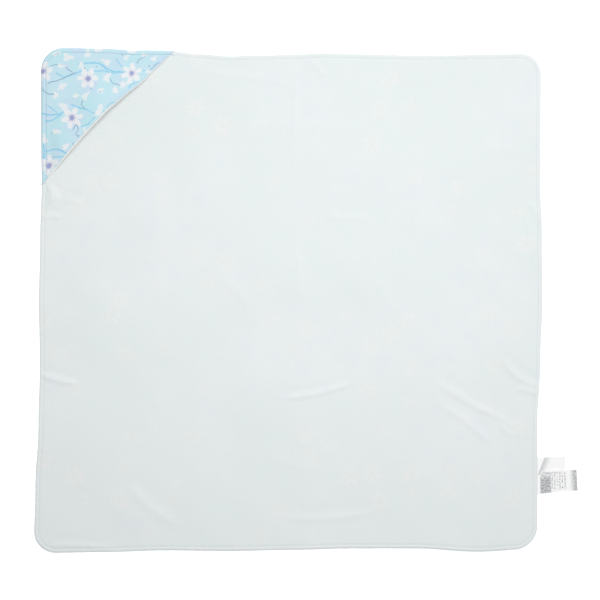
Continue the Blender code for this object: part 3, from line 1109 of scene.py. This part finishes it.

# --- Care labels ---
# Two strips of white satin caught in the right-hand seam: a short one at the back with a slanting
# fold and a painted shade beyond it, and over it a longer one, crumpled at the seam and printed in
# grey, with painted shade over the crumple.
SEAM_X = 0.3935
LABEL_CLOTH = 0.00025
SATIN_WHITE = (0.95, 0.95, 0.955)
# The grey of the printed marks. It is also used for the painted shade over the front label's crumple.
PRINT_AND_SHADE_GREY = (0.24, 0.26, 0.27)
# Painted shade: the grey that stands in for the shade on the back label's tilted part beyond its fold.
PAINTED_FOLD_SHADE = (0.36, 0.38, 0.38)
FOLD_X, FOLD_Y = 0.3965, -0.275        # a place on the back label's slanting fold
FOLD_SLANT = 0.42


def satin(name, printed):
    """Smooth white satin. One has grey marks in rows and painted shade over its crumple, the other a soft
    painted shade beyond its fold.
    """
    made, place = new_textile(name, 0.42, 0.1, specular=0.4)
    axes = new_node("ShaderNodeSeparateXYZ", place).outputs
    between = lambda axis, *range_ends: spread(axes[axis], *range_ends)
    if printed:
        ink_and_shade = PRINT_AND_SHADE_GREY
        stretched = vectors("MULTIPLY", place, (0.6, 1, 0))
        speck = spread(noise_at(stretched, 620.0), 0.47, 0.55)
        rows = spread(sums("PINGPONG", axes[0], 0.0021), 0.0009, 0.0013, 1.0, 0.0)
        marks = product(0.8, rows, speck, between(0, 0.024, 0.026), between(0, 0.050, 0.048),
                        between(1, 0.003, 0.005), between(1, 0.034, 0.030))
        # Print together with painted shade: a mottled grey block over the crumpled part near the seam. The
        # far end, where the label curls up, is greyed as well.
        block = product(between(0, 0.0050, 0.0065), between(0, 0.0255, 0.0215),
                        between(1, 0.036, 0.022), sums("MULTIPLY_ADD", speck, 0.45, 0.45))
        end = product(between(0, 0.054, 0.062), sums("MULTIPLY_ADD", speck, 0.5, 0.35))
        dark = sums("MAXIMUM", marks, sums("MAXIMUM", block, end))
    else:
        # Painted shade on the back label: grey that fades away from the slanting fold, where the tilted
        # satin lies in shade.
        ink_and_shade = PAINTED_FOLD_SHADE
        beyond = sums("SUBTRACT", axes[0], sums("MULTIPLY_ADD", axes[1], 0.40, 0.0008))
        fold_shade_fade = spread(beyond, 0.0, 0.013, 0.62, 0.0)
        dark = product(spread(beyond, 0.0, 0.0006), fold_shade_fade)
    colour = blended(dark, SATIN_WHITE, ink_and_shade)
    give_surface(colour, ribs(place, "X", 900.0), 0.00008, 0.3)
    return made


def label_strip(near, far):
    """The flat places of a strip, from its share along and across, between its two short ends."""
    def place(along, across):
        bend = smooth((along - 0.2) / 0.8)
        x = SEAM_X + along * (far[0][0] - SEAM_X) + across * bend * (far[1][0] - far[0][0])
        low = near[1] + along * (far[1][1] - near[1])
        high = near[0] + along * (far[0][1] - near[0])
        return x, high + across * (low - high)
    return place


def add_label(name, place, height, first, last, size, material):
    """A strip of label between two shares of its length."""
    steps = max(round((last - first) * 70), 6)
    along, across = np.meshgrid(np.linspace(first, last, steps), np.linspace(0, 1, 33), indexing="ij")
    upper = lambda a, b: np.stack([*place(a, b), height(a, b) + LABEL_CLOTH], -1)
    lower = lambda a, b: np.stack([*place(a, b), height(a, b)], -1)
    spots = np.stack([along.ravel() * size[0], (1 - across.ravel()) * size[1]], -1)
    joined = np.zeros(along.shape, bool)
    return add_shell(name, lattice_faces(along.shape, False), along, across, upper, lower, spots, joined,
                     material)


def seam_height(x, y):
    """The height of the seam that a label comes out of."""
    return lie(np.minimum(x, HALF - 0.001), y) + RIM_HEIGHT


def back_height(along, across):
    """Down to the floor, with a slanting fold that leaves the part beyond it tilted."""
    x, y = back_place(along, across)
    fallen = smooth((along - 0.1) / 0.5)
    base = (seam_height(x, y) - 0.0006) * (1 - fallen) + 0.0003 * fallen
    beyond = (x - FOLD_X) - FOLD_SLANT * (y - FOLD_Y)
    tilt = np.exp(-np.maximum(beyond, 0) / 0.009) * smooth(beyond / 0.002)
    return base + 0.0008 * np.exp(-((beyond / 0.0016) ** 2)) + 0.0012 * tilt


def front_height(along, across):
    """Over the back label, crumpled near the seam, and curling up a little at its far end."""
    x, y = front_place(along, across)
    fallen = smooth((along - 0.12) / 0.6)
    base = (seam_height(x, y) + 0.0002) * (1 - fallen) + 0.0016 * fallen
    held = smooth((along - 0.10) / 0.08)
    over = 0.0015 * smooth((0.16 - across) / 0.1) * held * smooth((0.75 - along) / 0.3)
    crumple = smooth((along - 0.08) / 0.1) * smooth((0.46 - along) / 0.16)
    folds = np.sin((x * 0.8 - y * 0.5) * 1150) + 0.7 * np.sin((x * 0.35 + y) * 900 + 1)
    curl = 0.0035 * smooth((along - 0.72) / 0.28) ** 2
    return base + over + 0.00032 * crumple * (folds + 1.3) + curl


BACK_SIZE = (0.0480, 0.0280)
FRONT_SIZE = (0.0655, 0.0360)
BACK_END = ((0.4395, -0.2510), (0.4405, -0.2785))
FRONT_END = ((0.4566, -0.2716), (0.4582, -0.3049))
back_place = label_strip((-0.2525, -0.2805), BACK_END)
front_place = label_strip((-0.2742, -0.3105), FRONT_END)
FOLD_SHADED_SATIN = satin("satin_with_painted_fold_shade", False)
PRINTED_SHADED_SATIN = satin("printed_satin_with_painted_shade", True)
split = 0.13                                    # the share of the front label that is its root

back = add_label("back_label_satin", back_place, back_height, 0, 1, BACK_SIZE, FOLD_SHADED_SATIN)
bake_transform(back)
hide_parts("back_label")
root = add_label("front_label_root", front_place, front_height, 0, split, FRONT_SIZE, PRINTED_SHADED_SATIN)
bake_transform(root)
front = add_label("front_label_satin", front_place, front_height, split, 1, FRONT_SIZE, PRINTED_SHADED_SATIN)
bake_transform(front)
for piece in (root, front):
    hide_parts("front_label")
